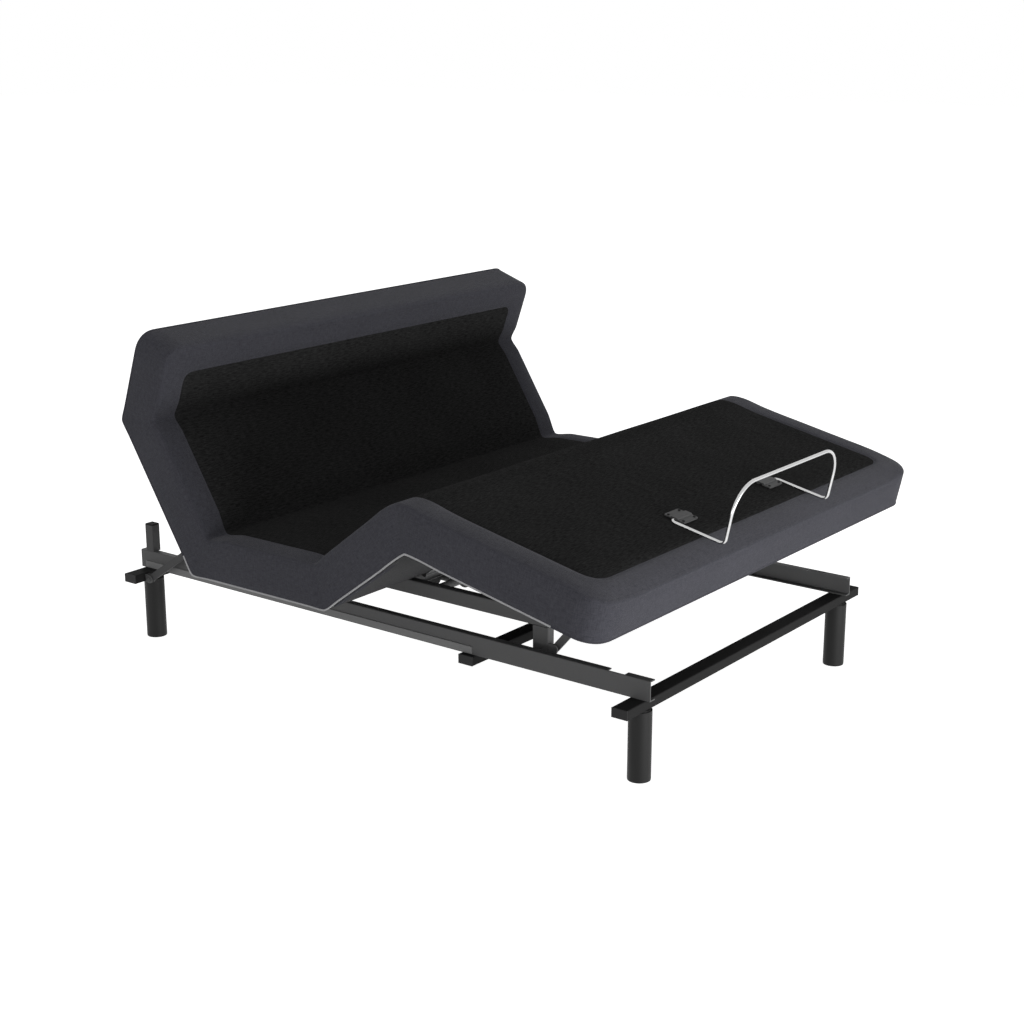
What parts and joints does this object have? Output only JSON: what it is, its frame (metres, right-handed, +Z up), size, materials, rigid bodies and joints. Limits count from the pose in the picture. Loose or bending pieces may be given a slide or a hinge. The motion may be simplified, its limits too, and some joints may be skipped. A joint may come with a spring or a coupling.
{
  "type": "adjustable bed base",
  "caption": "Powered adjustable bed base on a steel frame with round legs: padded deck with raised back, tilted pillow section, bent knee and a retainer bar at the foot.",
  "frame": {"origin": "on the floor under the middle of the object's box in the raised pose", "axes": "+X across the bed, +Y towards the head end, +Z up"},
  "size_m": [1.516, 1.8084, 0.9518],
  "materials": {
    "frame_paint": "satin",
    "bright_steel": "satin",
    "chrome": "polished",
    "black_plastic": "matte",
    "nylon": "satin",
    "rubber": "matte",
    "board": "matte",
    "charcoal_fabric": "matte"
  },
  "bodies": {
    "base_frame": {"left_rail": "frame_paint", "right_rail": "frame_paint", "rail_stiffeners": "frame_paint", "head_cross_tube": "frame_paint", "mid_cross_tube": "frame_paint", "foot_cross_tube": "frame_paint", "tube_end_caps": "black_plastic", "leg_head_left": "frame_paint", "leg_head_right": "frame_paint", "leg_foot_left": "frame_paint", "leg_foot_right": "frame_paint", "leg_studs": "bright_steel", "leg_glides": "black_plastic", "head_rest_posts": "frame_paint", "post_bumpers": "rubber", "wall_link_brackets": "frame_paint"},
    "wall_link": {"wall_links": "frame_paint"},
    "carriage": {"carriage_beams": "frame_paint", "carriage_cross_tubes": "frame_paint", "roller_posts": "frame_paint", "roller_axles": "bright_steel", "actuator_brackets": "frame_paint", "control_box": "black_plastic", "seat_board": "board", "seat_pad": "charcoal_fabric", "seat_hinges": "frame_paint"},
    "roller_hl": {"roller_head_left": "nylon"},
    "roller_hr": {"roller_head_right": "nylon"},
    "roller_fl": {"roller_foot_left": "nylon"},
    "roller_fr": {"roller_foot_right": "nylon"},
    "back": {"back_board": "board", "back_pad": "charcoal_fabric", "back_hinges": "frame_paint", "back_brackets": "frame_paint"},
    "pillow": {"pillow_board": "board", "pillow_pad": "charcoal_fabric", "pillow_hinges": "frame_paint", "pillow_crank": "frame_paint"},
    "thigh": {"thigh_board": "board", "thigh_pad": "charcoal_fabric", "thigh_hinges": "frame_paint", "knee_gusset": "charcoal_fabric"},
    "foot": {"foot_board": "board", "foot_pad": "charcoal_fabric", "foot_hinges": "frame_paint", "strut_lugs": "frame_paint", "retainer_brackets": "black_plastic", "retainer_screws": "frame_paint"},
    "retainer": {"retainer_bar": "chrome"},
    "foot_strut": {"foot_struts": "frame_paint"},
    "head_lift": {"head_lift_shaft": "frame_paint", "head_lift_rollers": "nylon"},
    "foot_lift": {"foot_lift_shaft": "frame_paint", "foot_lift_rollers": "nylon"},
    "head_actuator": {"head_actuator_body": "black_plastic"},
    "head_rod": {"head_actuator_rod": "bright_steel"},
    "foot_actuator": {"foot_actuator_body": "black_plastic"},
    "foot_rod": {"foot_actuator_rod": "bright_steel"},
    "pillow_actuator": {"pillow_actuator_body": "black_plastic"},
    "pillow_rod": {"pillow_actuator_rod": "bright_steel"}
  },
  "joints": [
    {"name": "back_lift", "type": "hinge", "parent": "carriage", "child": "back", "pos_m": [0, 0.404, 0.335], "axis": [1, 0, 0], "range_deg": [-58, 0]},
    {"name": "pillow_tilt", "type": "hinge", "parent": "back", "child": "pillow", "pos_m": [0, 0.64034, 0.71323], "axis": [1, 0, 0], "range_deg": [-51.2, 0]},
    {"name": "thigh_lift", "type": "hinge", "parent": "carriage", "child": "thigh", "pos_m": [0, -0.063, 0.335], "axis": [-1, 0, 0], "range_deg": [-36.4, 0]},
    {"name": "retainer_fold", "type": "hinge", "parent": "foot", "child": "retainer", "pos_m": [0, -0.72403, 0.56271], "axis": [-1, 0, 0], "range_deg": [0, 110]},
    {"name": "carriage_slide", "type": "slide", "parent": "base_frame", "child": "carriage", "axis": [0, 1, 0], "range_m": [-0.08201, 0]},
    {"name": "wall_link_swing", "type": "hinge", "parent": "base_frame", "child": "wall_link", "pos_m": [0, 0.827, 0.187], "axis": [-1, 0, 0], "range_deg": [-16, 0]},
    {"name": "head_lift_turn", "type": "hinge", "parent": "carriage", "child": "head_lift", "pos_m": [0, 0.35, 0.303], "axis": [1, 0, 0], "range_deg": [-47.06, 0]},
    {"name": "head_actuator_swing", "type": "hinge", "parent": "carriage", "child": "head_actuator", "pos_m": [0, -0.0405, 0.225], "axis": [1, 0, 0], "range_deg": [-2.57, 0]},
    {"name": "head_rod_slide", "type": "slide", "parent": "head_actuator", "child": "head_rod", "axis": [0, 0.9999, 0.0159], "range_m": [-0.06948, 0]},
    {"name": "foot_fold", "type": "hinge", "parent": "thigh", "child": "foot", "pos_m": [0, -0.32057, 0.52489], "axis": [1, 0, 0], "range_deg": [-48.3, 0], "deforming": ["knee_gusset"]},
    {"name": "foot_lift_turn", "type": "hinge", "parent": "carriage", "child": "foot_lift", "pos_m": [0, -0.105, 0.303], "axis": [-1, 0, 0], "range_deg": [-40.75, 0]},
    {"name": "foot_actuator_swing", "type": "hinge", "parent": "carriage", "child": "foot_actuator", "pos_m": [0, 0.286, 0.225], "axis": [1, 0, 0], "range_deg": [0, 2.29]},
    {"name": "foot_rod_slide", "type": "slide", "parent": "foot_actuator", "child": "foot_rod", "axis": [0, -1, 0.0097], "range_m": [-0.06049, 0]},
    {"name": "foot_strut_swing", "type": "hinge", "parent": "carriage", "child": "foot_strut", "pos_m": [0, -0.515, 0.245], "axis": [-1, 0, 0], "range_deg": [-33.05, 0]},
    {"name": "pillow_actuator_swing", "type": "hinge", "parent": "back", "child": "pillow_actuator", "pos_m": [0, 0.50088, 0.38059], "axis": [1, 0, 0], "range_deg": [-3.26, 0]},
    {"name": "pillow_rod_slide", "type": "slide", "parent": "pillow_actuator", "child": "pillow_rod", "axis": [0, 0.5232, 0.8522], "range_m": [-0.06179, 0]},
    {"name": "roller_hl_turn", "type": "hinge", "parent": "carriage", "child": "roller_hl", "pos_m": [0, 0.284, 0.2285], "axis": [-1, 0, 0], "range_deg": [-213.56, 0]},
    {"name": "roller_hr_turn", "type": "hinge", "parent": "carriage", "child": "roller_hr", "pos_m": [0, 0.284, 0.2285], "axis": [-1, 0, 0], "range_deg": [-213.56, 0]},
    {"name": "roller_fl_turn", "type": "hinge", "parent": "carriage", "child": "roller_fl", "pos_m": [0, -0.477, 0.2285], "axis": [-1, 0, 0], "range_deg": [-213.56, 0]},
    {"name": "roller_fr_turn", "type": "hinge", "parent": "carriage", "child": "roller_fr", "pos_m": [0, -0.477, 0.2285], "axis": [-1, 0, 0], "range_deg": [-213.56, 0]}
  ],
  "couplings": [
    {"joint": "carriage_slide", "follows": "back_lift", "m_per_rad": 0.081004},
    {"joint": "wall_link_swing", "follows": "back_lift", "ratio": 0.27586},
    {"joint": "head_lift_turn", "follows": "back_lift", "ratio": 0.8113},
    {"joint": "head_actuator_swing", "follows": "back_lift", "ratio": 0.044228},
    {"joint": "head_rod_slide", "follows": "back_lift", "m_per_rad": 0.06863},
    {"joint": "foot_fold", "follows": "thigh_lift", "ratio": 1.3269},
    {"joint": "foot_lift_turn", "follows": "thigh_lift", "ratio": 1.1195},
    {"joint": "foot_actuator_swing", "follows": "thigh_lift", "ratio": -0.062776},
    {"joint": "foot_rod_slide", "follows": "thigh_lift", "m_per_rad": 0.095204},
    {"joint": "foot_strut_swing", "follows": "thigh_lift", "ratio": 0.90789},
    {"joint": "pillow_actuator_swing", "follows": "pillow_tilt", "ratio": 0.063742},
    {"joint": "pillow_rod_slide", "follows": "pillow_tilt", "m_per_rad": 0.069135},
    {"joint": "roller_hl_turn", "follows": "back_lift", "ratio": 3.682},
    {"joint": "roller_hr_turn", "follows": "back_lift", "ratio": 3.682},
    {"joint": "roller_fl_turn", "follows": "back_lift", "ratio": 3.682},
    {"joint": "roller_fr_turn", "follows": "back_lift", "ratio": 3.682}
  ]
}
